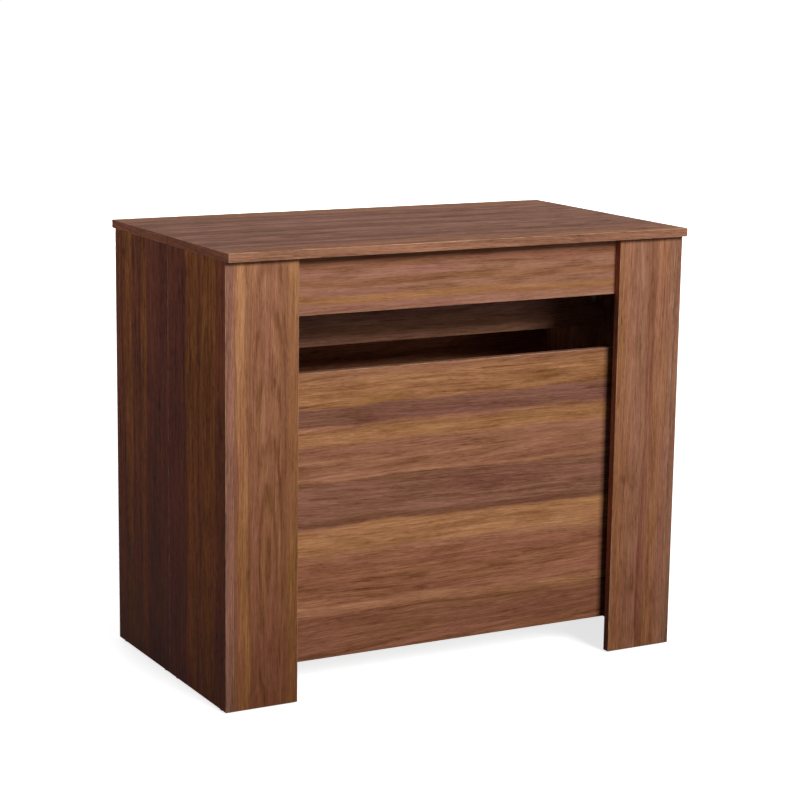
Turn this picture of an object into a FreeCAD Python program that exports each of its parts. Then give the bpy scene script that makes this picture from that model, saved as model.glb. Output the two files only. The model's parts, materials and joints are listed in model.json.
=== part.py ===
"""Extending console table in walnut-look board: two mirrored halves on telescopic runners.

Millimetres. X runs along the table's width, Y from the front to the back, Z up.
The origin is on the floor, under the middle of the closed table.
The front half is drawn first. The rear half is the same half turned round by 180 degrees.
"""

import FreeCAD, Part
import math
import os
from collections import namedtuple

import Sketcher
from FreeCAD import Placement, Rotation, Vector

SIZES = {
    # the closed table
    "table_width": 900,
    "table_height": 780,
    "top_depth": 255,  # one half of the top, from its front edge to the meeting line
    "base_depth": 240,  # one half of the base, from its front face to the meeting line
    "meeting_gap": 0.6,  # hairline between the two halves
    # boards
    "board": 15,
    "edge_round": 0.8,
    "leg_width": 133,  # leg board and the side panel's edge together
    "apron_height": 100,
    "slot_height": 100,
    "floor_gap": 62,  # under the lower panel
    "rail_height": 100,
    "rail_drop": 94,  # from the top's underside down to the inner rail
    # cam fittings and dowels in the butt joints
    "fit_gap": 0.15,  # all round a fitting in its hole
    "cam_diameter": 15,
    "cam_depth": 12,
    "cam_reach": 24,  # from a board's end to the middle of its cam
    "cam_inset": 90,  # from the end of a tall board to its outer cam
    "leg_cam_drop": 40,  # from the apron's lower edge to the leg's upper cam
    "bolt_diameter": 6,
    "bolt_neck": 4,
    "bolt_head": 3,
    "anchor_diameter": 5,
    "anchor_depth": 10.5,  # of bolts and dowels in a side panel
    "dowel_diameter": 8,
    "dowel_length": 32,
    "dowel_pitch": 32,  # from a cam to its dowel
    "dowel_chamfer": 1,
    # drive recess of cams and screws
    "recess_length": 4.4,
    "recess_width": 1.1,
    "recess_depth": 1.3,
    # glides under the side panels
    "glide_height": 2.5,
    "glide_diameter": 13,
    "glide_inset": 25,
    "glide_pin": 3,
    "glide_pin_length": 12,
    # angle brackets and wood screws under the tops
    "angle_leg": 25,
    "angle_width": 20,
    "angle_thick": 2,
    "angle_hole": 15,  # from the corner to each hole
    "side_angle_inset": 60,  # from the ends of a side panel
    "apron_angle_offset": 100,  # from the middle of the apron
    "screw_diameter": 4,
    "screw_head": 7.6,
    "screw_rise": 2.4,
    "screw_length": 13,
    "screw_point": 4,
    # runner bars: an extrusion with a T-slot on both sides
    "runner_outer": 300,  # from the middle of the table to the first bar's outer face
    "bar_width": 13,
    "bar_height": 40,
    "bar_gap": 1,
    "bar_end_gap": 4,  # from a closed bar's end to the apron
    "groove_mouth": 8,
    "groove_width": 14,
    "groove_lip": 2,
    "groove_depth": 5,
    # slide shoes, which also stop the bars when two of them meet
    "shoe_length": 50.5,
    "shoe_gap": 0.25,
    "peg_diameter": 4,
    # hangers that carry the first and last bars
    "hanger_leg": 28,
    "hanger_drop": 34,
    "hanger_width": 26,
    "hanger_thick": 2,
    "hanger_start": 45,  # from the meeting line to the first hanger
    "hanger_end": 21,  # from the bar's end to the last hanger
    "hanger_screw_reach": 17,
    "hanger_screw_pitch": 14,
    "stud_diameter": 5,
    "stud_head": 9.5,
    "stud_rise": 2.8,
    "stud_chamfer": 0.5,
    "nut_length": 12,
    # pins that line up the two tops
    "pin_diameter": 8,
    "pin_length": 40,
    "pin_spread": 300,
}

HALVES = {"front": 1, "rear": -1}
SIDES = (-1, 1)
BARS = 7
HANGERS = 3
UP = Vector(0, 0, 1)
ROUND_FULL = 360
FLAT_TURN = 180
QUARTER_TURN = 90

# Places that several pieces share, worked out from the sizes
HALF_GAP = "(Sizes.meeting_gap / 2)"
UNDERSIDE = "(Sizes.table_height - Sizes.board)"
INSIDE = "(Sizes.table_width / 2 - Sizes.board)"
CROSS_WIDTH = f"(2 * {INSIDE})"
TOP_DEPTH = f"(Sizes.top_depth - {HALF_GAP})"
TOP_Y = f"(-(Sizes.top_depth + {HALF_GAP}) / 2)"
SIDE_DEPTH = f"(Sizes.base_depth - {HALF_GAP})"
SIDE_Y = f"(-(Sizes.base_depth + {HALF_GAP}) / 2)"
SIDE_HEIGHT = f"({UNDERSIDE} - Sizes.glide_height)"
SIDE_Z = f"(({UNDERSIDE} + Sizes.glide_height) / 2)"
LEG_BOARD = "(Sizes.leg_width - Sizes.board)"
LEG_BACK = "(Sizes.board - Sizes.base_depth)"
APRON_BACK = "(2 * Sizes.board - Sizes.base_depth)"
APRON_BOTTOM = f"({UNDERSIDE} - Sizes.apron_height)"
APRON_Z = f"({UNDERSIDE} - Sizes.apron_height / 2)"
PANEL_BACK = "(3 * Sizes.board - Sizes.base_depth)"
PANEL_TOP = f"({APRON_BOTTOM} - Sizes.slot_height)"
PANEL_HEIGHT = f"({PANEL_TOP} - Sizes.floor_gap)"
PANEL_Z = f"(({PANEL_TOP} + Sizes.floor_gap) / 2)"
RAIL_BACK = f"(-{HALF_GAP})"
RAIL_Z = f"({UNDERSIDE} - Sizes.rail_drop - Sizes.rail_height / 2)"

BAR_LENGTH = "(2 * (Sizes.base_depth - 2 * Sizes.board - Sizes.bar_end_gap))"
BAR_Z = f"({UNDERSIDE} - Sizes.hanger_thick - Sizes.bar_height / 2)"
BAR_PITCH = "(Sizes.bar_width + Sizes.bar_gap)"
BAR_WEB = "(Sizes.bar_width - 2 * Sizes.groove_depth)"
RUNNER_INNER = f"(Sizes.runner_outer - {BARS} * Sizes.bar_width - {BARS - 1} * Sizes.bar_gap)"
SHOE_Y = f"(({BAR_LENGTH} - Sizes.shoe_length) / 2)"
HANGER_LAST = f"({BAR_LENGTH} / 2 - Sizes.hanger_end)"
HANGER_STEP = f"(({HANGER_LAST} - Sizes.hanger_start) / {HANGERS - 1})"
HANGER_YS = [f"(Sizes.hanger_start + {number} * {HANGER_STEP})" for number in range(HANGERS)]

BOLT_HOLE = "(Sizes.bolt_diameter + 2 * Sizes.fit_gap)"
ANCHOR_HOLE = "(Sizes.anchor_diameter + 2 * Sizes.fit_gap)"
ANCHOR_HOLE_DEPTH = "(Sizes.anchor_depth + Sizes.fit_gap)"
DOWEL_HOLE = "(Sizes.dowel_diameter + 2 * Sizes.fit_gap)"
DOWEL_HOLE_DEPTH = "(Sizes.dowel_length - Sizes.anchor_depth + Sizes.fit_gap)"
SCREW_HOLE = "(Sizes.screw_diameter + 2 * Sizes.fit_gap)"
ANGLE_SCREW_DEPTH = "(Sizes.screw_length - Sizes.angle_thick + Sizes.fit_gap)"
HANGER_SCREW_DEPTH = "(Sizes.screw_length - Sizes.hanger_thick + Sizes.fit_gap)"
PIN_HOLE = "(Sizes.pin_diameter + 2 * Sizes.fit_gap)"
PIN_HOLE_DEPTH = "(Sizes.pin_length / 2 + Sizes.fit_gap)"
PEG_HOLE = "(Sizes.peg_diameter + 2 * Sizes.fit_gap)"

# A board that butts against the side panels: where its back face and its middle are,
# which face its cams are in (1 back, -1 front), and how far from its middle the fittings sit
Joint = namedtuple("Joint", "back middle cam_face cams dowels")

LEG_LOW = f"(Sizes.cam_inset - {SIDE_HEIGHT} / 2)"
LEG_HIGH = f"({APRON_BOTTOM} - Sizes.leg_cam_drop - {SIDE_Z})"
LEG_CAMS = [LEG_LOW, f"(({LEG_LOW} + {LEG_HIGH}) / 2)", LEG_HIGH]
LEG_DOWELS = [f"({LEG_LOW} + Sizes.dowel_pitch)", f"({LEG_HIGH} - Sizes.dowel_pitch)"]
PANEL_CAM = f"({PANEL_HEIGHT} / 2 - Sizes.cam_inset)"
PANEL_CAMS = [PANEL_CAM, f"(-{PANEL_CAM})"]
PANEL_DOWELS = [f"({PANEL_CAM} - Sizes.dowel_pitch)", f"(Sizes.dowel_pitch - {PANEL_CAM})"]
LOW_BOARD_CAMS = ["0"]
LOW_BOARD_DOWELS = ["Sizes.dowel_pitch", "-Sizes.dowel_pitch"]

LEG = Joint(LEG_BACK, SIDE_Z, 1, LEG_CAMS, LEG_DOWELS)
APRON = Joint(APRON_BACK, APRON_Z, 1, LOW_BOARD_CAMS, LOW_BOARD_DOWELS)
PANEL = Joint(PANEL_BACK, PANEL_Z, 1, PANEL_CAMS, PANEL_DOWELS)
RAIL = Joint(RAIL_BACK, RAIL_Z, -1, LOW_BOARD_CAMS, LOW_BOARD_DOWELS)
JOINTS = (LEG, APRON, PANEL, RAIL)

doc = FreeCAD.newDocument("extending_console_table")
sheet = doc.addObject("Spreadsheet::Sheet", "Sizes")
for row, (alias, size) in enumerate(SIZES.items(), start=1):
    sheet.set(f"A{row}", alias)
    sheet.set(f"B{row}", str(size))
    sheet.setAlias(f"B{row}", alias)
doc.recompute()

nodes = []
cuts = []


# Sketches and features
def new_sketch(body, name, role, offset):
    """A sketch on one of the body's own origin planes, moved along its normal."""
    sketch = body.newObject("Sketcher::SketchObject", name)
    plane = next(feature for feature in body.Origin.OriginFeatures if feature.Role == role)
    sketch.AttachmentSupport = [(plane, "")]
    sketch.MapMode = "FlatFace"
    if offset != "0":
        sketch.setExpression("AttachmentOffset.Base.z", offset)
    return sketch


def tie_point(sketch, geometry, point, start, x, y):
    """Bind one point of a sketch to its two expressions."""
    ties = (("DistanceX", -2, x, start.x), ("DistanceY", -1, y, start.y))
    for kind, axis, expression, now in ties:
        if expression == "0":
            sketch.addConstraint(Sketcher.Constraint("PointOnObject", geometry, point, axis))
        else:
            index = sketch.addConstraint(Sketcher.Constraint(kind, -1, 1, geometry, point, now))
            sketch.setExpression(f"Constraints[{index}]", expression)


def polygon(body, name, role, points, offset="0"):
    """A closed outline whose corners are pairs of expressions. It starts as a regular polygon."""
    sketch = new_sketch(body, name, role, offset)
    count = len(points)
    first_turn = 0.3
    turns = [first_turn + 2 * math.pi * number / count for number in range(count)]
    starts = [Vector(math.cos(turn), math.sin(turn), 0) * count for turn in turns]
    for number, start in enumerate(starts):
        sketch.addGeometry(Part.LineSegment(start, starts[(number + 1) % count]), False)
    for number in range(count):
        sketch.addConstraint(Sketcher.Constraint("Coincident", number, 2, (number + 1) % count, 1))
    for number, (x, y) in enumerate(points):
        tie_point(sketch, number, 1, starts[number], x, y)
    return sketch


def circles(body, name, role, centres, diameter, offset="0"):
    """Circles of one diameter, whose centres are pairs of expressions."""
    sketch = new_sketch(body, name, role, offset)
    for number, (x, y) in enumerate(centres, start=1):
        start = Vector(number, number, 0)
        geometry = sketch.addGeometry(Part.Circle(start, UP, 1), False)
        tie_point(sketch, geometry, 3, start, x, y)
        index = sketch.addConstraint(Sketcher.Constraint("Diameter", geometry, 2))
        sketch.setExpression(f"Constraints[{index}]", diameter)
    return sketch


def rectangle(width, height):
    """Corners of a rectangle about the sketch's origin."""
    x = f"({width}) / 2"
    y = f"({height}) / 2"
    return [(f"-{x}", f"-{y}"), (x, f"-{y}"), (x, y), (f"-{x}", y)]


def cross(length, width):
    """Corners of a plus sign about the sketch's origin."""
    far = f"{length} / 2"
    near = f"{width} / 2"
    corners = [(far, near), (near, near), (near, far)]
    signs = [(1, 1, 1), (-1, 1, -1), (-1, -1, 1), (1, -1, -1)]
    points = []
    for sign_x, sign_y, order in signs:
        points += [(f"{sign_x} * {x}", f"{sign_y} * {y}") for x, y in corners[::order]]
    return points


def pad(body, sketch, length, reverse=False, both_ways=False):
    feature = body.newObject("PartDesign::Pad", "pad")
    feature.Profile = sketch
    feature.setExpression("Length", length)
    feature.Reversed = reverse
    if both_ways:
        feature.SideType = "Symmetric"
    return feature


def pocket(body, sketch, depth, reverse=False, both_ways=False):
    """Cut against the sketch's normal, or along it when reversed."""
    feature = body.newObject("PartDesign::Pocket", "pocket")
    feature.Profile = sketch
    feature.setExpression("Length", depth)
    feature.Reversed = reverse
    if both_ways:
        feature.SideType = "Symmetric"
    cuts.append(feature)
    return feature


def turned(name, profile):
    """A round piece about Z from a profile of radius and height."""
    body = doc.addObject("PartDesign::Body", name)
    sketch = polygon(body, "profile", "XZ_Plane", profile)
    feature = body.newObject("PartDesign::Revolution", "turning")
    feature.Profile = sketch
    feature.ReferenceAxis = (sketch, ["V_Axis"])
    feature.Angle = ROUND_FULL
    return body


# Placing
def place(thing, half, x, y, z, turn=Rotation()):
    """Put a piece at its place in the front half, or in the same half turned round."""
    half_turn = Rotation(UP, 0 if half > 0 else FLAT_TURN)
    thing.Placement = Placement(Vector(), half_turn * turn)
    thing.setExpression("Placement.Base.x", f"{half} * ({x})")
    thing.setExpression("Placement.Base.y", f"{half} * ({y})")
    thing.setExpression("Placement.Base.z", z)


def about_z(angle):
    return Rotation(UP, angle)


def axes(x_axis, z_axis):
    """The rotation that carries X and Z onto two given directions."""
    x_axis = Vector(*x_axis)
    z_axis = Vector(*z_axis)
    return Rotation(x_axis, z_axis.cross(x_axis), z_axis, "ZXY")


def group(label, pieces, half=1):
    """One node of separate solids: copies of a pattern, each (pattern, x, y, z, turn)."""
    copies = []
    for pattern, x, y, z, turn in pieces:
        copy = doc.addObject("App::Link", f"{label}_piece")
        copy.LinkedObject = pattern
        copy.LinkTransform = False
        place(copy, half, x, y, z, turn)
        copies.append(copy)
    node = doc.addObject("Part::Compound", label)
    node.Label = label
    node.Links = copies
    nodes.append(node)


def side_name(side):
    return "right" if side > 0 else "left"


# Boards
def board(label, role, width, height, reverse=False):
    """A flat board with softened edges, centred on its plane."""
    body = doc.addObject("PartDesign::Body", label)
    body.Label = label
    outline = polygon(body, "outline", role, rectangle(width, height))
    blank = pad(body, outline, "Sizes.board", reverse)
    doc.recompute()
    edges = body.newObject("PartDesign::Fillet", "edges")
    edges.Base = (blank, ["Edge1"])
    edges.UseAllEdges = True
    edges.setExpression("Radius", "Sizes.edge_round")
    nodes.append(body)
    return body


def drill_for_fittings(body, width, joint, ends):
    """Cam bores in a face, and bolt and dowel holes in the ends that meet a side panel."""
    cams = [(f"{end} * ({width} / 2 - Sizes.cam_reach)", z) for end in ends for z in joint.cams]
    face = "0" if joint.cam_face > 0 else "Sizes.board"
    bores = circles(body, "cam_bores", "XZ_Plane", cams, "Sizes.cam_diameter", face)
    pocket(body, bores, "Sizes.cam_depth", reverse=joint.cam_face > 0)
    middle = "-Sizes.board / 2"
    for end in ends:
        end_face = f"{end} * {width} / 2"
        bolts = [(middle, z) for z in joint.cams]
        holes = circles(body, "bolt_holes", "YZ_Plane", bolts, BOLT_HOLE, end_face)
        pocket(body, holes, "Sizes.cam_reach", reverse=end < 0)
        dowels = [(middle, z) for z in joint.dowels]
        holes = circles(body, "dowel_holes", "YZ_Plane", dowels, DOWEL_HOLE, end_face)
        pocket(body, holes, DOWEL_HOLE_DEPTH, reverse=end < 0)


def side_angle_ys():
    """Where a side panel's two angle brackets sit, from the panel's middle."""
    reach = f"({SIDE_DEPTH} / 2 - Sizes.side_angle_inset)"
    return [reach, f"(-{reach})"]


def make_top(name, half):
    body = board(f"{name}_top", "XY_Plane", "Sizes.table_width", TOP_DEPTH)
    angle_holes = []
    hanger_holes = []
    face, outward = HANGER_FACES[name]
    for side in SIDES:
        x = f"{side} * ({INSIDE} - Sizes.angle_hole)"
        angle_holes += [(x, f"{SIDE_Y} + {y} - {TOP_Y}") for y in side_angle_ys()]
        apron_y = f"{APRON_BACK} + Sizes.angle_hole - {TOP_Y}"
        angle_holes.append((f"{side} * Sizes.apron_angle_offset", apron_y))
        x = f"{side} * ({face} + {outward} * Sizes.hanger_screw_reach)"
        for y in HANGER_YS:
            for step in SIDES:
                shift = f"{step} * Sizes.hanger_screw_pitch / 2"
                hanger_holes.append((x, f"{shift} - {y} - {TOP_Y}"))
    holes = circles(body, "angle_screw_holes", "XY_Plane", angle_holes, SCREW_HOLE)
    pocket(body, holes, ANGLE_SCREW_DEPTH, reverse=True)
    holes = circles(body, "hanger_screw_holes", "XY_Plane", hanger_holes, SCREW_HOLE)
    pocket(body, holes, HANGER_SCREW_DEPTH, reverse=True)
    pins = [(x, "Sizes.board / 2") for x in PIN_XS]
    holes = circles(body, "pin_holes", "XZ_Plane", pins, PIN_HOLE, f"-{TOP_DEPTH} / 2")
    pocket(body, holes, PIN_HOLE_DEPTH, reverse=True)
    place(body, half, "0", TOP_Y, UNDERSIDE)


def make_side(name, half, side):
    label = f"{name}_{side_name(side * half)}_side"
    body = board(label, "YZ_Plane", SIDE_DEPTH, SIDE_HEIGHT, reverse=side < 0)
    anchors = []
    dowels = []
    for joint in JOINTS:
        y = f"{joint.back} - Sizes.board / 2 - {SIDE_Y}"
        anchors += [(y, f"{joint.middle} + {z} - {SIDE_Z}") for z in joint.cams]
        dowels += [(y, f"{joint.middle} + {z} - {SIDE_Z}") for z in joint.dowels]
    outward = side > 0
    holes = circles(body, "anchor_holes", "YZ_Plane", anchors, ANCHOR_HOLE)
    pocket(body, holes, ANCHOR_HOLE_DEPTH, reverse=outward)
    holes = circles(body, "dowel_holes", "YZ_Plane", dowels, DOWEL_HOLE)
    pocket(body, holes, ANCHOR_HOLE_DEPTH, reverse=outward)
    screws = [(y, f"{SIDE_HEIGHT} / 2 - Sizes.angle_hole") for y in side_angle_ys()]
    holes = circles(body, "screw_holes", "YZ_Plane", screws, SCREW_HOLE)
    pocket(body, holes, ANGLE_SCREW_DEPTH, reverse=outward)
    pin_hole = "Sizes.glide_pin + 2 * Sizes.fit_gap"
    glides = [(f"{side} * Sizes.board / 2", y) for y in glide_ys()]
    holes = circles(body, "glide_holes", "XY_Plane", glides, pin_hole, f"-{SIDE_HEIGHT} / 2")
    pocket(body, holes, "Sizes.glide_pin_length + Sizes.fit_gap", reverse=True)
    place(body, half, f"{side} * {INSIDE}", SIDE_Y, SIDE_Z)


def glide_ys():
    """Where a side panel's two glides sit, from the panel's middle."""
    reach = f"({SIDE_DEPTH} / 2 - Sizes.glide_inset)"
    return [reach, f"(-{reach})"]


def make_leg(name, half, side):
    label = f"{name}_{side_name(side * half)}_leg"
    body = board(label, "XZ_Plane", LEG_BOARD, SIDE_HEIGHT)
    drill_for_fittings(body, LEG_BOARD, LEG, [side])
    place(body, half, f"{side} * ({INSIDE} - {LEG_BOARD} / 2)", LEG_BACK, SIDE_Z)


def make_cross_board(name, half, part, height, joint):
    body = board(f"{name}_{part}", "XZ_Plane", CROSS_WIDTH, height)
    drill_for_fittings(body, CROSS_WIDTH, joint, SIDES)
    place(body, half, "0", joint.back, joint.middle)
    return body


def make_apron(name, half):
    body = make_cross_board(name, half, "apron", "Sizes.apron_height", APRON)
    z = "Sizes.apron_height / 2 - Sizes.angle_hole"
    screws = [(f"{side} * Sizes.apron_angle_offset", z) for side in SIDES]
    holes = circles(body, "screw_holes", "XZ_Plane", screws, SCREW_HOLE)
    pocket(body, holes, ANGLE_SCREW_DEPTH, reverse=True)


# Fittings that are copied into groups
def make_cam():
    """Cam housing: axis along Z, drive recess on top, bolt hole out towards X."""
    body = doc.addObject("PartDesign::Body", "cam")
    disc = circles(body, "disc", "XY_Plane", [("0", "0")], "Sizes.cam_diameter - 2 * Sizes.fit_gap")
    pad(body, disc, "Sizes.cam_depth")
    plus = cross("Sizes.recess_length", "Sizes.recess_width")
    recess = polygon(body, "recess", "XY_Plane", plus, "Sizes.cam_depth")
    pocket(body, recess, "Sizes.recess_depth")
    bolt_middle = [("0", "Sizes.cam_depth - Sizes.board / 2")]
    bolt_way = circles(body, "bolt_way", "YZ_Plane", bolt_middle, BOLT_HOLE)
    pocket(body, bolt_way, "Sizes.cam_diameter", reverse=True)
    return body


def make_bolt():
    """Cam bolt: anchor end at the origin, head along Z."""
    length = "(Sizes.anchor_depth + Sizes.cam_reach - Sizes.fit_gap)"
    head = f"{length} - Sizes.bolt_head"
    neck = f"{head} - Sizes.bolt_head"
    anchor = "Sizes.anchor_diameter / 2"
    shank = "Sizes.bolt_diameter / 2"
    waist = "Sizes.bolt_neck / 2"
    profile = [
        ("0", "0"),
        (anchor, "0"),
        (anchor, "Sizes.anchor_depth"),
        (shank, "Sizes.anchor_depth"),
        (shank, neck),
        (waist, neck),
        (waist, head),
        (shank, head),
        (shank, length),
        ("0", length),
    ]
    return turned("bolt", profile)


def make_dowel(name, diameter, length):
    """Dowel or pin with chamfered ends, along Z from the origin."""
    radius = f"{diameter} / 2"
    tip = f"{radius} - Sizes.dowel_chamfer"
    profile = [
        ("0", "0"),
        (tip, "0"),
        (radius, "Sizes.dowel_chamfer"),
        (radius, f"{length} - Sizes.dowel_chamfer"),
        (tip, length),
        ("0", length),
    ]
    return turned(name, profile)


def make_glide():
    """Glide with its pin, standing on the floor."""
    rim = "Sizes.glide_diameter / 2"
    pin = "Sizes.glide_pin / 2"
    pin_top = "Sizes.glide_height + Sizes.glide_pin_length"
    profile = [
        ("0", "0"),
        (f"{rim} - Sizes.edge_round", "0"),
        (rim, "Sizes.edge_round"),
        (rim, "Sizes.glide_height"),
        (pin, "Sizes.glide_height"),
        (pin, pin_top),
        ("0", pin_top),
    ]
    return turned("glide", profile)


def make_screw(name, diameter, head, rise, tip):
    """Raised-head screw: head underside at the origin, shank along Z, tip as a list of points."""
    shank = f"{diameter} / 2"
    rim = f"{head} / 2"
    profile = [
        ("0", f"-{rise}"),
        (f"{rim} - {rise} / 2", f"-{rise}"),
        (rim, f"-{rise} / 2"),
        (rim, "0"),
        (shank, "0"),
    ]
    body = turned(name, profile + tip)
    plus = cross("Sizes.recess_length", "Sizes.recess_width")
    recess = polygon(body, "recess", "XY_Plane", plus, f"-{rise}")
    pocket(body, recess, "Sizes.recess_depth", reverse=True)
    return body


def make_wood_screw():
    shank = "Sizes.screw_diameter / 2"
    tip = [(shank, "Sizes.screw_length - Sizes.screw_point"), ("0", "Sizes.screw_length")]
    return make_screw("wood_screw", "Sizes.screw_diameter", "Sizes.screw_head", "Sizes.screw_rise", tip)


def make_stud():
    """Machine screw that runs through a hanger into a slot nut."""
    length = "(Sizes.hanger_thick + Sizes.groove_depth - Sizes.fit_gap)"
    shank = "Sizes.stud_diameter / 2"
    tip = [
        (shank, f"{length} - Sizes.stud_chamfer"),
        (f"{shank} - Sizes.stud_chamfer", length),
        ("0", length),
    ]
    return make_screw("stud", "Sizes.stud_diameter", "Sizes.stud_head", "Sizes.stud_rise", tip)


def make_angle(name, leg, drop, thick, width, side_hole, side_points, top_hole, top_points):
    """Angle bracket: upright leg against X = 0, flat leg against Z = 0, both ways from Y = 0."""
    body = doc.addObject("PartDesign::Body", name)
    profile = [
        ("0", "0"),
        (leg, "0"),
        (leg, f"-{thick}"),
        (thick, f"-{thick}"),
        (thick, f"-{drop}"),
        ("0", f"-{drop}"),
    ]
    pad(body, polygon(body, "profile", "XZ_Plane", profile), width, both_ways=True)
    pocket(body, circles(body, "side_holes", "YZ_Plane", side_points, side_hole), thick, reverse=True)
    pocket(body, circles(body, "top_holes", "XY_Plane", top_points, top_hole), thick)
    return body


def make_top_angle():
    side_points = [("0", "-Sizes.angle_hole")]
    top_points = [("Sizes.angle_hole", "0")]
    return make_angle(
        "top_angle", "Sizes.angle_leg", "Sizes.angle_leg", "Sizes.angle_thick", "Sizes.angle_width",
        SCREW_HOLE, side_points, SCREW_HOLE, top_points,
    )


def make_hanger():
    stud_hole = "Sizes.stud_diameter + 2 * Sizes.fit_gap"
    side_points = [("0", "-Sizes.hanger_thick - Sizes.bar_height / 2")]
    top_points = [("Sizes.hanger_screw_reach", f"{step} * Sizes.hanger_screw_pitch / 2") for step in SIDES]
    return make_angle(
        "hanger", "Sizes.hanger_leg", "Sizes.hanger_drop", "Sizes.hanger_thick", "Sizes.hanger_width",
        stud_hole, side_points, SCREW_HOLE, top_points,
    )


def make_nut():
    """Slot nut: sits inside a bar's groove, behind the lips, with X into the bar."""
    body = doc.addObject("PartDesign::Body", "nut")
    tall = "Sizes.groove_width - 2 * Sizes.fit_gap"
    plate = polygon(body, "plate", "YZ_Plane", rectangle("Sizes.nut_length", tall))
    thick = "Sizes.groove_depth - Sizes.groove_lip - 2 * Sizes.fit_gap"
    pad(body, plate, thick)
    hole = circles(body, "hole", "YZ_Plane", [("0", "0")], "Sizes.stud_diameter + 2 * Sizes.fit_gap")
    pocket(body, hole, thick, reverse=True)
    return body


# Telescopic runners
def bar_profile():
    """Outline of a bar: a flat bar with a T-slot on both sides."""
    face = "Sizes.bar_width / 2"
    lip = f"{face} - Sizes.groove_lip"
    floor = f"{face} - Sizes.groove_depth"
    top = "Sizes.bar_height / 2"
    wide = "Sizes.groove_width / 2"
    mouth = "Sizes.groove_mouth / 2"
    quarter = [(face, top), (face, mouth), (lip, mouth), (lip, wide), (floor, wide)]
    signs = [(1, 1, 1), (1, -1, -1), (-1, -1, 1), (-1, 1, -1)]
    points = []
    for sign_x, sign_z, order in signs:
        points += [(f"{sign_x} * ({x})", f"{sign_z} * {z}") for x, z in quarter[::order]]
    return points


def bar_x(side, number):
    return f"{side} * (Sizes.runner_outer - Sizes.bar_width / 2 - {number} * {BAR_PITCH})"


def make_bar(side, number):
    label = f"{side_name(side)}_runner_bar_{number + 1}"
    body = doc.addObject("PartDesign::Body", label)
    body.Label = label
    pad(body, polygon(body, "profile", "XZ_Plane", bar_profile()), BAR_LENGTH, both_ways=True)
    pegs = []
    if number < BARS - 1:
        pegs.append((f"-{SHOE_Y}", "0"))
    if number > 0:
        pegs.append((SHOE_Y, "0"))
    holes = circles(body, "peg_holes", "YZ_Plane", pegs, PEG_HOLE)
    pocket(body, holes, "Sizes.bar_width", both_ways=True)
    place(body, 1, bar_x(side, number), "0", BAR_Z)
    nodes.append(body)


def make_shoe():
    """Slide shoe: a bar of dumb-bell section between two grooves, with a peg towards X."""
    body = doc.addObject("PartDesign::Body", "shoe")
    near = "(Sizes.bar_gap / 2 + Sizes.groove_lip + Sizes.shoe_gap)"
    far = "(Sizes.bar_gap / 2 + Sizes.groove_depth - Sizes.shoe_gap)"
    neck = "(Sizes.groove_mouth / 2 - Sizes.shoe_gap)"
    head = "(Sizes.groove_width / 2 - Sizes.shoe_gap)"
    upper = [(near, neck), (near, head), (far, head)]
    half = upper + [(x, f"-{z}") for x, z in upper[::-1]]
    profile = half + [(f"-{x}", z) for x, z in half[::-1]]
    pad(body, polygon(body, "profile", "XZ_Plane", profile), "Sizes.shoe_length", both_ways=True)
    peg = circles(body, "peg", "YZ_Plane", [("0", "0")], "Sizes.peg_diameter", far)
    pad(body, peg, BAR_WEB)
    return body


def shoes_on_bar(shoe, number):
    """Shoes fixed to one pair of bars: at the front towards the next bar, at the rear towards the last."""
    pieces = []
    for side in SIDES:
        towards = 0 if side > 0 else FLAT_TURN
        if number < BARS - 1:
            x = f"{bar_x(side, number)} - {side} * {BAR_PITCH} / 2"
            pieces.append((shoe, x, f"-{SHOE_Y}", BAR_Z, about_z(towards)))
        if number > 0:
            x = f"{bar_x(side, number)} + {side} * {BAR_PITCH} / 2"
            pieces.append((shoe, x, SHOE_Y, BAR_Z, about_z(towards + FLAT_TURN)))
    return pieces


# The rear top hangs on the outer faces of the first bars, and the front top on the inner faces of the last
HANGER_FACES = {"front": (RUNNER_INNER, -1), "rear": ("Sizes.runner_outer", 1)}
PIN_XS = ["-Sizes.pin_spread", "0", "Sizes.pin_spread"]

cam = make_cam()
bolt = make_bolt()
dowel = make_dowel("dowel", "Sizes.dowel_diameter", "Sizes.dowel_length")
pin = make_dowel("pin", "Sizes.pin_diameter", "Sizes.pin_length")
glide = make_glide()
wood_screw = make_wood_screw()
stud = make_stud()
top_angle = make_top_angle()
hanger = make_hanger()
nut = make_nut()
slide_shoe = make_shoe()


def fit_joints(name, half):
    """Cam housings, cam bolts and dowels of every butt joint in a half."""
    cams = []
    bolts = []
    dowels = []
    for side in SIDES:
        inward = axes((0, 0, 1), (-side, 0, 0))
        anchor = f"{side} * ({INSIDE} + Sizes.anchor_depth)"
        cam_x = f"{side} * ({INSIDE} - Sizes.cam_reach)"
        for joint in JOINTS:
            middle_y = f"{joint.back} - Sizes.board / 2"
            cam_y = f"{middle_y} + {joint.cam_face} * (Sizes.board / 2 - Sizes.cam_depth)"
            cam_turn = axes((side, 0, 0), (0, joint.cam_face, 0))
            for z in joint.cams:
                height = f"{joint.middle} + {z}"
                cams.append((cam, cam_x, cam_y, height, cam_turn))
                bolts.append((bolt, anchor, middle_y, height, inward))
            for z in joint.dowels:
                dowels.append((dowel, anchor, middle_y, f"{joint.middle} + {z}", inward))
    group(f"{name}_cam_housings", cams, half)
    group(f"{name}_cam_bolts", bolts, half)
    group(f"{name}_dowels", dowels, half)


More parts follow.
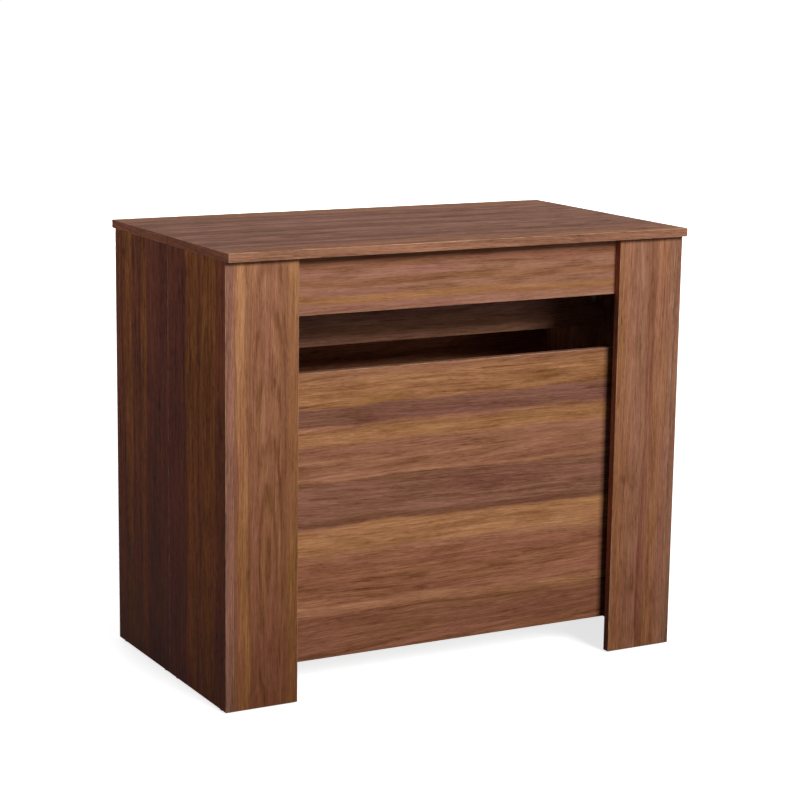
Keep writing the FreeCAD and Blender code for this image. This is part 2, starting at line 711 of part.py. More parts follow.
def fit_top_angles(name, half):
    """Angle brackets that hold the top on the side panels and the apron, with their screws."""
    upward = axes((1, 0, 0), (0, 0, 1))
    angles = []
    screws = []
    flat_z = f"{UNDERSIDE} - Sizes.angle_thick"
    wall_z = f"{UNDERSIDE} - Sizes.angle_hole"
    for side in SIDES:
        into_side = axes((0, 0, 1), (side, 0, 0))
        for offset in side_angle_ys():
            y = f"{SIDE_Y} + {offset}"
            turn = about_z(FLAT_TURN if side > 0 else 0)
            angles.append((top_angle, f"{side} * {INSIDE}", y, UNDERSIDE, turn))
            screws.append((wood_screw, f"{side} * ({INSIDE} - Sizes.angle_hole)", y, flat_z, upward))
            screws.append((wood_screw, f"{side} * ({INSIDE} - Sizes.angle_thick)", y, wall_z, into_side))
        x = f"{side} * Sizes.apron_angle_offset"
        into_apron = axes((1, 0, 0), (0, -1, 0))
        angles.append((top_angle, x, APRON_BACK, UNDERSIDE, about_z(QUARTER_TURN)))
        screws.append((wood_screw, x, f"{APRON_BACK} + Sizes.angle_hole", flat_z, upward))
        screws.append((wood_screw, x, f"{APRON_BACK} + Sizes.angle_thick", wall_z, into_apron))
    group(f"{name}_top_brackets", angles, half)
    group(f"{name}_bracket_screws", screws, half)


def fit_hangers(name, half):
    """Hangers of a half's own runner bars, with their wood screws, machine screws and slot nuts."""
    face, outward = HANGER_FACES[name]
    upward = axes((1, 0, 0), (0, 0, 1))
    hangers = []
    screws = []
    studs = []
    nuts = []
    flat_z = f"{UNDERSIDE} - Sizes.hanger_thick"
    for side in SIDES:
        away = side * outward
        into_bar = axes((0, 0, 1), (-away, 0, 0))
        turn = about_z(0 if away > 0 else FLAT_TURN)
        face_x = f"{side} * {face}"
        for distance in HANGER_YS:
            y = f"-{distance}"
            hangers.append((hanger, face_x, y, UNDERSIDE, turn))
            for step in SIDES:
                shift = f"{step} * Sizes.hanger_screw_pitch / 2"
                x = f"{face_x} + {away} * Sizes.hanger_screw_reach"
                screws.append((wood_screw, x, f"{y} + {shift}", flat_z, upward))
            studs.append((stud, f"{face_x} + {away} * Sizes.hanger_thick", y, BAR_Z, into_bar))
            nut_x = f"{face_x} - {away} * (Sizes.groove_lip + Sizes.fit_gap)"
            nut_turn = about_z(FLAT_TURN if away > 0 else 0)
            nuts.append((nut, nut_x, y, BAR_Z, nut_turn))
    group(f"{name}_runner_hangers", hangers, half)
    group(f"{name}_hanger_screws", screws, half)
    group(f"{name}_hanger_studs", studs, half)
    group(f"{name}_slot_nuts", nuts, half)


def fit_glides(name, half):
    x = f"({INSIDE} + Sizes.board / 2)"
    spots = [(f"{side} * {x}", f"{SIDE_Y} + {y}") for side in SIDES for y in glide_ys()]
    group(f"{name}_glides", [(glide, x, y, "0", Rotation()) for x, y in spots], half)


for half_name, half_sign in HALVES.items():
    make_top(half_name, half_sign)
    for side_sign in SIDES:
        make_side(half_name, half_sign, side_sign)
        make_leg(half_name, half_sign, side_sign)
    make_apron(half_name, half_sign)
    make_cross_board(half_name, half_sign, "lower_panel", PANEL_HEIGHT, PANEL)
    make_cross_board(half_name, half_sign, "inner_rail", "Sizes.rail_height", RAIL)
    fit_joints(half_name, half_sign)
    fit_top_angles(half_name, half_sign)
    fit_hangers(half_name, half_sign)
    fit_glides(half_name, half_sign)

for bar_number in range(BARS):
    for side_sign in SIDES:
        make_bar(side_sign, bar_number)
    group(f"slide_shoes_{bar_number + 1}", shoes_on_bar(slide_shoe, bar_number))

rearward = axes((1, 0, 0), (0, 1, 0))
pin_y = "-Sizes.pin_length / 2"
pin_z = f"{UNDERSIDE} + Sizes.board / 2"
group("alignment_pins", [(pin, x, pin_y, pin_z, rearward) for x in PIN_XS])

doc.recompute()
failed = [thing.Name for thing in doc.Objects if "Invalid" in thing.State or "Error" in thing.State]
failed += [node.Label for node in nodes if node.Shape.isNull() or not node.Shape.isValid()]
failed += [cut.Name for cut in cuts if cut.Shape.Volume >= cut.BaseFeature.Shape.Volume]
if failed:
    raise RuntimeError(f"these did not build: {failed}")

os.makedirs("parts", exist_ok=True)
for node in nodes:
    node.Shape.exportStep(f"parts/{node.Label}.step")
print(len(nodes), "nodes,", sum(len(node.Shape.Solids) for node in nodes), "solids")
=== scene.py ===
# %% [markdown]
# # Extending console table
# The table is two walnut-look halves that meet at mid-depth. Pulled apart, they ride on aluminium runners
# under the top. The solids come from the CAD frame at their real size, so this lesson only dresses them: it
# sets up the view and the light, prints the wood on every board, lays the bands along the boards' edges and
# finishes every fitting.

# %% Load the frame
import json
import math

import bpy
from mathutils import Matrix, Vector


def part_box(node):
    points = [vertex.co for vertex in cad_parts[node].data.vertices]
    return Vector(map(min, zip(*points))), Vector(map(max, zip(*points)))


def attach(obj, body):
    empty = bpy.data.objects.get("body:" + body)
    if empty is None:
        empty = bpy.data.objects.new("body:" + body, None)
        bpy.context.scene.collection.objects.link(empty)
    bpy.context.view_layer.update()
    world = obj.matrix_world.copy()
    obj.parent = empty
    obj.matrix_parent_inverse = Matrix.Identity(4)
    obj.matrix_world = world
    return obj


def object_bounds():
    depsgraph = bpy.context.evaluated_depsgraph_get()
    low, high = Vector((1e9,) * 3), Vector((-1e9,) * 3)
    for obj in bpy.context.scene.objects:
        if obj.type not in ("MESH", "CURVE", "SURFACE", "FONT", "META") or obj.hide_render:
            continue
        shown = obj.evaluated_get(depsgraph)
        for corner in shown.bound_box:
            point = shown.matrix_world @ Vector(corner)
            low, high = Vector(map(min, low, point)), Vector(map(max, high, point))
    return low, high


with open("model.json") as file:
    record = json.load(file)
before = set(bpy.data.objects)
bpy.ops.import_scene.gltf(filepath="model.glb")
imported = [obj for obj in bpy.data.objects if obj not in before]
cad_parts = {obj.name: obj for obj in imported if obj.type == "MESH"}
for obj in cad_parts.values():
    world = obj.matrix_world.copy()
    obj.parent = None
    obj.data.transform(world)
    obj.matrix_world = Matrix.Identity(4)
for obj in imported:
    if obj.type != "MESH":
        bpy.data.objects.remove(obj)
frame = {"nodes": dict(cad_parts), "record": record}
nodes = frame["nodes"]
cad_low, cad_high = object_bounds()
print("CAD box from", [round(x, 4) for x in cad_low], "to", [round(x, 4) for x in cad_high])

# %% [markdown]
# ## The camera
# The real picture was taken from the front left, a little above the top, with a long lens. A camera could
# be aimed with a Track To constraint, but the slight roll is easier to give as a matrix. Its three columns
# are the camera's right, its up, and the direction behind it.

# %% Camera
SENSOR_WIDTH = 36.0
FOCAL_LENGTH = 100.54
CAMERA_PLACE = Vector((-1.917, -3.507, 1.253))
HEADING = math.radians(28.74)
LOOK_DOWN = math.radians(11.26)
ROLL = math.radians(0.78)


def camera_matrix(place, heading, look_down, roll):
    """The camera's matrix, from its place and how far it turns right, down and over."""
    forward = Vector((
        math.sin(heading) * math.cos(look_down),
        math.cos(heading) * math.cos(look_down),
        -math.sin(look_down),
    ))
    level = Vector((math.cos(heading), -math.sin(heading), 0.0))
    upward = level.cross(forward)
    right = level * math.cos(roll) + upward * math.sin(roll)
    up = upward * math.cos(roll) - level * math.sin(roll)
    turn = Matrix((right, up, -forward)).transposed()
    return Matrix.Translation(place) @ turn.to_4x4()


camera = bpy.data.objects.new("camera", bpy.data.cameras.new("camera"))
camera.data.sensor_width = SENSOR_WIDTH
camera.data.lens = FOCAL_LENGTH
camera.matrix_world = camera_matrix(CAMERA_PLACE, HEADING, LOOK_DOWN, ROLL)
bpy.context.scene.collection.objects.link(camera)
bpy.context.scene.camera = camera
print("Camera distance to the origin:", round(CAMERA_PLACE.length, 3), "m")

# %% [markdown]
# ## Small helpers for nodes
# Shader trees are easier to read when a line says what is fed to what. `feed` links a socket or sets its
# value, and `add` makes a node with its options and inputs. Most of the others wrap one kind of node, and
# return the output that is used next.

# %% Node helpers
NOISE_MIDDLE = 0.5
MIX_SHARE = 0
MIX_FIRST_COLOUR = 6
MIX_SECOND_COLOUR = 7
MIX_COLOUR = 2


def feed(tree, socket, value):
    """Links a socket to another one, or sets its plain value."""
    if isinstance(value, bpy.types.NodeSocket):
        tree.links.new(value, socket)
    else:
        socket.default_value = value


def add(tree, kind, inputs=None, **options):
    """Adds a node, sets its options and feeds its inputs by name or number."""
    made = tree.nodes.new(kind)
    for option, value in options.items():
        setattr(made, option, value)
    for key, value in (inputs or {}).items():
        feed(tree, made.inputs[key], value)
    return made


def calculate(tree, operation, *values):
    """The output of a Math node."""
    made = add(tree, "ShaderNodeMath", dict(enumerate(values)), operation=operation)
    return made.outputs["Value"]


def vector_math(tree, operation, *vectors):
    """The output of a Vector Math node that works on whole vectors."""
    made = add(tree, "ShaderNodeVectorMath", dict(enumerate(vectors)), operation=operation)
    return made.outputs["Vector"]


def scaled(tree, vector, factor):
    """A vector, or a colour, times one number."""
    inputs = {"Vector": vector, "Scale": factor}
    return add(tree, "ShaderNodeVectorMath", inputs, operation="SCALE").outputs["Vector"]


def combine(tree, x, y, z):
    """The output of a Combine XYZ node."""
    return add(tree, "ShaderNodeCombineXYZ", {"X": x, "Y": y, "Z": z}).outputs["Vector"]


def separate(tree, vector):
    """The three outputs of a Separate XYZ node."""
    return add(tree, "ShaderNodeSeparateXYZ", {"Vector": vector}).outputs


def remap(tree, value, old=(0.0, 1.0), new=(0.0, 1.0)):
    """A value moved from an old span to a new one, and held inside it."""
    spans = {"From Min": old[0], "From Max": old[1], "To Min": new[0], "To Max": new[1]}
    return add(tree, "ShaderNodeMapRange", {"Value": value, **spans}).outputs["Result"]


def fade(tree, value, start, end):
    """A smooth step from 0 where value is start to 1 where it is end."""
    ends = {"Value": value, "From Min": start, "From Max": end}
    made = add(tree, "ShaderNodeMapRange", ends, interpolation_type="SMOOTHSTEP")
    return made.outputs["Result"]


def noise(tree, vector, detail=2.0, roughness=0.5):
    """The value of a Noise Texture, about 0 to 1."""
    inputs = {"Vector": vector, "Scale": 1.0, "Detail": detail, "Roughness": roughness}
    return add(tree, "ShaderNodeTexNoise", inputs).outputs["Fac"]


def spread(tree, value, amount):
    """A value from 0 to 1 as a push down or up, of half that amount each way."""
    return calculate(tree, "MULTIPLY", calculate(tree, "SUBTRACT", value, NOISE_MIDDLE), amount)


def mix_colours(tree, share, first, second):
    """A colour between two. A Mix node repeats its sockets for each type, so they go by number."""
    inputs = {MIX_SHARE: share, MIX_FIRST_COLOUR: first, MIX_SECOND_COLOUR: second}
    return add(tree, "ShaderNodeMix", inputs, data_type="RGBA").outputs[MIX_COLOUR]


def srgb(red, green, blue):
    """A colour given in the 0 to 255 of a colour picker, as linear light by the sRGB formula."""
    shares = [c / 255 for c in (red, green, blue)]
    linear = [c / 12.92 if c <= 0.04045 else ((c + 0.055) / 1.055) ** 2.4 for c in shares]
    return (*linear, 1.0)


print("Node helpers are ready")

# %% [markdown]
# ## Helpers for groups and materials
# An effect that several materials share is built once, as a node group with named sockets. Copying its nodes
# into each material would look the same, but a later change would have to be made in every copy.

# %% Group and material helpers


def new_group(name, inputs, outputs, kind="ShaderNodeTree"):
    """An empty node group with named sockets, and the two ends to wire up."""
    tree = bpy.data.node_groups.new(name, kind)
    for direction, sockets in (("INPUT", inputs), ("OUTPUT", outputs)):
        for label, sort in sockets.items():
            tree.interface.new_socket(label, in_out=direction, socket_type="NodeSocket" + sort)
    given = tree.nodes.new("NodeGroupInput").outputs
    result = tree.nodes.new("NodeGroupOutput").inputs
    return tree, given, result


def place_group(tree, group, inputs):
    """Puts a group into a material and returns its outputs."""
    return add(tree, "ShaderNodeGroup", inputs, node_tree=group).outputs


def new_material(name):
    """A new material with its node tree and its shader."""
    material = bpy.data.materials.new(name)
    material.use_nodes = True
    return material, material.node_tree, material.node_tree.nodes["Principled BSDF"]


print("Group and material helpers are ready")

# %% [markdown]
# ## Floor and world
# A pale studio floor has to look almost white and still hold the table's shadow. More light would wash the
# wood out, so the floor and the world are lifted to white only for rays that come from the camera, or that
# metal sends on. All other rays meet a dark grey studio, which leaves the table's far side in shade.

# %% World
AMBIENT = (0.07, 0.07, 0.07, 1.0)
WHITE = (1.0, 1.0, 1.0, 1.0)


def seen_rays(tree):
    """1 for rays from the camera or from a reflection, 0 for the rest."""
    path = add(tree, "ShaderNodeLightPath").outputs
    mirrored = calculate(tree, "MAXIMUM", path["Is Glossy Ray"], path["Is Transmission Ray"])
    return calculate(tree, "MAXIMUM", path["Is Camera Ray"], mirrored)


world = bpy.data.worlds.new("studio")
world.use_nodes = True
tree = world.node_tree
tree.nodes.clear()
dim = add(tree, "ShaderNodeBackground", {"Color": AMBIENT}).outputs[0]
bright = add(tree, "ShaderNodeBackground", {"Color": WHITE}).outputs[0]
shown = add(tree, "ShaderNodeMixShader", {0: seen_rays(tree), 1: dim, 2: bright})
add(tree, "ShaderNodeOutputWorld", {"Surface": shown.outputs[0]})
bpy.context.scene.world = world
bpy.context.scene.view_settings.view_transform = "Standard"
print("World:", len(tree.nodes), "nodes")

# %% Floor
FLOOR_HALF = 80.0
FLOOR_TURNS = ((-1, -1), (1, -1), (1, 1), (-1, 1))
FLOOR_PALE = (0.85, 0.85, 0.85, 1.0)
FLOOR_GREY = (0.08, 0.08, 0.08, 1.0)
FLOOR_LIFT = (0.75, 0.95)
FLOOR_SWEEP = (4.0, 12.0)

floor_mesh = bpy.data.meshes.new("floor")
corners = [(x * FLOOR_HALF, y * FLOOR_HALF, cad_low.z) for x, y in FLOOR_TURNS]
floor_mesh.from_pydata(corners, [], [(0, 1, 2, 3)])
floor = bpy.data.objects.new("floor", floor_mesh)
bpy.context.scene.collection.objects.link(floor)

floor_paint = bpy.data.materials.new("pale_floor")
floor_paint.use_nodes = True
tree = floor_paint.node_tree
tree.nodes.clear()
seen = seen_rays(tree)
spot = add(tree, "ShaderNodeTexCoord").outputs["Object"]
away = add(tree, "ShaderNodeVectorMath", {0: spot}, operation="LENGTH").outputs["Value"]
reach = remap(tree, fade(tree, away, *FLOOR_SWEEP), new=FLOOR_LIFT)
lift = calculate(tree, "MULTIPLY", seen, reach)
glow = add(tree, "ShaderNodeEmission", {"Color": WHITE, "Strength": lift})
paint = mix_colours(tree, seen, FLOOR_GREY, FLOOR_PALE)
matt = add(tree, "ShaderNodeBsdfDiffuse", {"Color": paint})
both = add(tree, "ShaderNodeAddShader", {0: glow.outputs[0], 1: matt.outputs[0]})
add(tree, "ShaderNodeOutputMaterial", {"Surface": both.outputs[0]})
floor_mesh.materials.append(floor_paint)
print("Floor is", 2 * FLOOR_HALF, "m wide at z =", round(cad_low.z, 4))

# %% [markdown]
# ## Soft boxes
# The picture's light comes from the front right and a little from above, and leaves the left side in shade.
# One large soft box does that, and a weak low one reaches in under the apron. Three more light the other
# sides for whoever walks round the table. They all stand far off, so that the half that is pulled out is
# lit as the other one is.

# %% Soft boxes
TABLE_MIDDLE = (cad_low + cad_high) / 2
SOFT_BOXES = {
    "front_soft_box": {"place": (2.0, -12.0, 6.7), "width": 5.0, "height": 3.6, "power": 1610.0},
    "low_soft_box": {"place": (2.0, -12.0, 2.2), "width": 5.0, "height": 2.0, "power": 125.0},
    "rear_soft_box": {"place": (1.5, 10.0, 2.2), "width": 6.0, "height": 3.0, "power": 700.0},
    "right_soft_box": {"place": (9.0, 0.0, 2.2), "width": 4.0, "height": 3.0, "power": 350.0},
    "left_soft_box": {"place": (-9.0, 1.0, 2.2), "width": 4.0, "height": 3.0, "power": 105.0},
}


def soft_box(name, aim, place, width, height, power):
    """A rectangular area lamp at a place, turned to face a point."""
    lamp = bpy.data.lights.new(name, "AREA")
    lamp.shape = "RECTANGLE"
    lamp.size = width
    lamp.size_y = height
    lamp.energy = power
    box = bpy.data.objects.new(name, lamp)
    box.location = place
    box.rotation_euler = (aim - Vector(place)).to_track_quat("-Z", "Y").to_euler()
    box.visible_camera = False
    box.visible_glossy = False
    bpy.context.scene.collection.objects.link(box)


for name, facts in SOFT_BOXES.items():
    soft_box(name, TABLE_MIDDLE, **facts)

# %% [markdown]
# ## Walnut boards: where a point lies on its board
# The boards are chipboard with a printed walnut face, and edges printed in one plainer tone. The print
# runs along the board's grain, and on the board's ends it runs along the end. A UV map could say that, but
# the solids have none. Each board is a flat box in line with the axes, so its own coordinates are enough.

# %% Group: board faces
BAND_TURN = (0.80, 0.60)
END_TURN = 0.7
HIGHLIGHT_RIM_WIDTH = (0.0014, 0.0006)

board_faces, given, result = new_group(
    "board_faces",
    {"Place": "Vector", "Facing": "Vector", "Low": "Vector", "High": "Vector"},
    {"Along": "Float", "Across": "Float", "Through": "Float", "Band": "Float", "Rim": "Float"},
)
tree = board_faces
along, across, through = separate(tree, given["Place"])
steep = separate(tree, vector_math(tree, "ABSOLUTE", given["Facing"]))
on_end = calculate(tree, "GREATER_THAN", steep["X"], END_TURN)


def swapped(plain, on_ends):
    """The plain coordinate, or the other one on the board's ends."""
    change = calculate(tree, "SUBTRACT", on_ends, plain)
    return calculate(tree, "MULTIPLY_ADD", change, on_end, plain)


feed(tree, result["Along"], swapped(along, across))
feed(tree, result["Across"], swapped(across, through))
feed(tree, result["Through"], swapped(through, along))
band = fade(tree, steep["Z"], *BAND_TURN)
feed(tree, result["Band"], band)

# A thin rim just inside each face's border is a painted highlight, for the light that the boards' edges
# catch.
from_low = vector_math(tree, "SUBTRACT", given["Place"], given["Low"])
from_high = vector_math(tree, "SUBTRACT", given["High"], given["Place"])
inset = separate(tree, vector_math(tree, "MINIMUM", from_low, from_high))
nearest = calculate(tree, "MINIMUM", inset["X"], inset["Y"])
on_face = calculate(tree, "SUBTRACT", 1.0, band)
feed(tree, result["Rim"], calculate(tree, "MULTIPLY", fade(tree, nearest, *HIGHLIGHT_RIM_WIDTH), on_face))
print("Group board_faces:", len(board_faces.nodes), "nodes")

# %% [markdown]
# ## Walnut boards: the figure
# Walnut shows long streaks, short dark pores, slow cloudy patches, and growth rings that close into arches
# where the cut runs out of the log. All of them follow the grain, which wanders a little and runs at its own
# slant in each strip. So the group first bends the board's coordinates that way.

# %% Group: walnut figure
STRIP_STEP = 2.3
WAVES_ALONG = 2.0
WAVES_ACROSS = 5.0
WAVE_DETAIL = 3.0
WAVE_ROUGHNESS = 0.45
WANDER = 0.030
SLANT = 0.05

walnut_figure, given, result = new_group(
    "walnut_figure",
    {
        "Along": "Float",
        "Across": "Float",
        "Through": "Float",
        "Strip": "Float",
        "Heart": "Float",
        "Arch": "Float",
        "Arch Start": "Float",
        "Dip": "Float",
        "Coarse": "Float",
        "Contrast": "Float",
    },
    {"Tone": "Float", "Warmth": "Float", "Pores": "Float"},
)
tree = walnut_figure
deep = calculate(tree, "MULTIPLY_ADD", given["Strip"], STRIP_STEP, given["Through"])
wave_place = combine(
    tree,
    calculate(tree, "MULTIPLY", given["Along"], WAVES_ALONG),
    calculate(tree, "MULTIPLY", given["Across"], WAVES_ACROSS),
    deep,
)
waves = noise(tree, wave_place, WAVE_DETAIL, WAVE_ROUGHNESS)
wave = calculate(tree, "SUBTRACT", waves, NOISE_MIDDLE)
slant = spread(tree, given["Strip"], SLANT)
slanted = calculate(tree, "MULTIPLY_ADD", given["Along"], slant, given["Across"])
wavy = calculate(tree, "MULTIPLY_ADD", wave, WANDER, slanted)
slim_across = calculate(tree, "DIVIDE", wavy, given["Coarse"])
slim_deep = calculate(tree, "DIVIDE", deep, given["Coarse"])
print("Group walnut_figure has", len(tree.interface.items_tree), "sockets")

# %% [markdown]
# ## Walnut boards: streaks and marks
# Noise stretched along the grain gives streaks, and its stretch says which: long and broad for the growth
# layers, short and narrow for fibres, flecks and pores. A mark keeps only the peaks of its noise, or the
# lines where it crosses its middle.

# %% Walnut figure: streaks and marks
STREAK_ROUGHNESS = 0.6
LINE_WIDTH = 0.04
SMUDGE_SPAN = (0.62, 0.80)
FLECK_SPAN = (0.56, 0.70)
PORE_SPAN = (0.60, 0.72)


def streaks(length, width, detail):
    """Noise drawn out along the grain, with streaks of about that length and width."""
    place = combine(
        tree,
        calculate(tree, "DIVIDE", given["Along"], length),
        calculate(tree, "DIVIDE", slim_across, width),
        calculate(tree, "DIVIDE", slim_deep, width),
    )
    return noise(tree, place, detail, STREAK_ROUGHNESS)


def contours(value):
    """Thin lines where a noise value crosses its middle, as the edges of growth layers do."""
    off_middle = calculate(tree, "SUBTRACT", value, NOISE_MIDDLE)
    return fade(tree, calculate(tree, "ABSOLUTE", off_middle), LINE_WIDTH, 0.0)


broad = streaks(length=0.45, width=0.016, detail=3.0)
fine = streaks(length=0.16, width=0.0024, detail=3.0)
fibres = streaks(length=0.016, width=0.0013, detail=1.0)
cloud = streaks(length=0.14, width=0.050, detail=3.0)
patches = streaks(length=0.20, width=0.030, detail=2.0)
dark_lines = contours(streaks(length=0.40, width=0.011, detail=2.0))
pale_lines = contours(streaks(length=0.30, width=0.013, detail=2.0))
smudge = fade(tree, streaks(length=0.05, width=0.016, detail=2.0), *SMUDGE_SPAN)
flecks = fade(tree, streaks(length=0.018, width=0.0016, detail=1.0), *FLECK_SPAN)
pores = fade(tree, streaks(length=0.008, width=0.0008, detail=1.0), *PORE_SPAN)
print("Noise textures in walnut_figure:", sum(node.type == "TEX_NOISE" for node in tree.nodes))

# %% [markdown]
# ## Walnut boards: rings
# The rings are the distance to a heart line that dips into the board, and the sine of that distance draws
# the arches. Clouds push the rings to and fro, and patches let them come and go, as on a real board.

# %% Walnut figure: rings
RING_PITCH = 0.012
RING_DRIFT = 6.5
HALF_WAVE = 0.5
RING_SHARPNESS = 2.0
RING_SPAN = (0.30, 0.56)
ARCH_SPREAD = 0.5

off_heart = calculate(tree, "SUBTRACT", wavy, given["Heart"])
start = calculate(tree, "MULTIPLY_ADD", given["Strip"], ARCH_SPREAD, given["Arch Start"])
dip = calculate(tree, "MULTIPLY", calculate(tree, "SUBTRACT", given["Along"], start), given["Dip"])
squares = [calculate(tree, "POWER", distance, 2.0) for distance in (off_heart, dip)]
radius = calculate(tree, "SQRT", calculate(tree, "ADD", *squares))
turns = calculate(tree, "DIVIDE", radius, RING_PITCH)
phase = calculate(tree, "MULTIPLY_ADD", turns, math.tau, spread(tree, cloud, RING_DRIFT))
crest = calculate(tree, "MULTIPLY_ADD", calculate(tree, "SINE", phase), HALF_WAVE, HALF_WAVE)
ring = calculate(tree, "POWER", crest, RING_SHARPNESS)
ring = calculate(tree, "MULTIPLY", ring, fade(tree, patches, *RING_SPAN))
ring = calculate(tree, "MULTIPLY", ring, given["Arch"])
print("Rings are", RING_PITCH, "m apart")

# %% [markdown]
# ## Walnut boards: all marks together
# The soft streaks push the tone both ways, and each mark only darkens or lightens it. The sum is a factor
# about 1, which each board then multiplies its own colours with.

# %% Walnut figure: tone
swings = {broad: 0.65, fine: 0.65, fibres: 0.70, cloud: 0.55}
weights = {
    ring: -0.34,
    dark_lines: -0.16,
    pale_lines: 0.20,
    smudge: -0.24,
    flecks: -0.16,
    pores: -0.16,
}
parts = [spread(tree, value, swing) for value, swing in swings.items()]
parts += [calculate(tree, "MULTIPLY", mark, weight) for mark, weight in weights.items()]
change = 0.0
for part in parts:
    change = calculate(tree, "ADD", change, part)
feed(tree, result["Tone"], calculate(tree, "MULTIPLY_ADD", change, given["Contrast"], 1.0))
feed(tree, result["Warmth"], calculate(tree, "SUBTRACT", patches, NOISE_MIDDLE))
feed(tree, result["Pores"], pores)
print("Group walnut_figure:", len(walnut_figure.nodes), "nodes")

# %% [markdown]
# ## Walnut boards: the tones
# The print shows a board glued up from strips of different trees: golden, reddish, plum and dark ones. Each
# tone is given once here, as the colour it has in plain light. The dusky tone also paints a sheen, and the
# left side's three tones paint shade.

# %% Wood tones
TONES = {
    "amber": srgb(178, 126, 87),
    "rose": srgb(160, 110, 82),
    "blush": srgb(158, 111, 88),
    "golden": srgb(160, 111, 75),
    "honey": srgb(152, 104, 75),
    "reddish": srgb(146, 98, 74),
    "russet": srgb(142, 93, 68),
    "cocoa": srgb(127, 82, 60),
    "plum": srgb(132, 89, 70),
    "prune": srgb(126, 84, 69),
    "umber": srgb(114, 74, 56),
    # The dusky tone is pale and pink; on the top it paints the sheen seen at a flat angle.
    "dusky_and_sheen": srgb(148, 105, 88),
    # The three tones below are the left side's, darkened and reddened as painted shade.
    "shaded_mahogany": srgb(146, 80, 51),
    "shaded_tobacco": srgb(172, 103, 57),
    "shaded_wine": srgb(132, 69, 51),
}
BAND_TONE = srgb(152, 106, 82)
print(len(TONES), "wood tones")

# %% [markdown]
# ## Walnut boards: the strips
# A list gives each board its strips, with a tone, a width in millimetres and how strongly the rings arch.
# A colour ramp turns the list into bands of colour, and a second ramp tells the figure which strip it is in
# and where the strip's middle lies, so that no streak runs on from one strip into the next.

# %% Strip ramps
SEAM = 0.007
STRIP_TURN = 0.381
BOARD_TURN = 0.173


def strip_ramps(tree, position, strips, width, board_number):
    """The strips' colours, and their number, middle and arch, along a board of that width."""
    total = sum(size for tone, size, arch in strips)
    colours = add(tree, "ShaderNodeValToRGB", {"Fac": position})
    facts = add(tree, "ShaderNodeValToRGB", {"Fac": position})
    facts.color_ramp.interpolation = "CONSTANT"
    fact_stops = facts.color_ramp.elements
    half_seam = SEAM / width / 2
    stops = []
    start = 0.0
    for index, (tone, size, arch) in enumerate(strips):
        end = start + size / total
        stops.append((min(start + half_seam, 1.0), TONES[tone]))
        stops.append((max(end - half_seam, 0.0), TONES[tone]))
        number = (index * STRIP_TURN + board_number * BOARD_TURN) % 1.0
        fact = fact_stops[0] if index == 0 else fact_stops.new(start)
        fact.color = (number, (start + end) / 2, arch, 1.0)
        start = end
    fact_stops.remove(fact_stops[len(strips)])
    colour_stops = colours.color_ramp.elements
    colour_stops[0].position, colour_stops[0].color = stops[0]
    colour_stops[1].position, colour_stops[1].color = stops[-1]
    for place, colour in stops[1:-1]:
        colour_stops.new(place).color = colour
    return colours.outputs["Color"], facts.outputs["Color"]


print("Strips blend over", SEAM, "m")

# %% [markdown]
# ## Walnut boards: the finish
# The print lies under a satin film with almost no shine. Where the tone is deeper, the colour is warmer too,
# so green and blue fall faster than red. The film dips into the pores, which are a little rougher.

# %% Material: walnut
SATIN_ROUGHNESS = 0.58
SATIN_SPECULAR = 0.02
PORE_ROUGHNESS = 0.12
PORE_BUMP = 0.25
PORE_DEPTH = 0.0001
BORDER_WAVE = 0.30
BORDER_DETAIL = 4.0
BORDER_SWING = 0.036
HIGHLIGHT_RIM_LIFT = 0.10
GREEN_POWER = 1.22
BLUE_POWER = 1.42
WARM_GREEN = 0.16
WARM_BLUE = -0.25


def satin(tree, shader, pores):
    """Gives a shader the satin film, a little rougher in the pores."""
    rough = calculate(tree, "MULTIPLY_ADD", pores, PORE_ROUGHNESS, SATIN_ROUGHNESS)
    feed(tree, shader.inputs["Roughness"], rough)
    shader.inputs["Specular IOR Level"].default_value = SATIN_SPECULAR


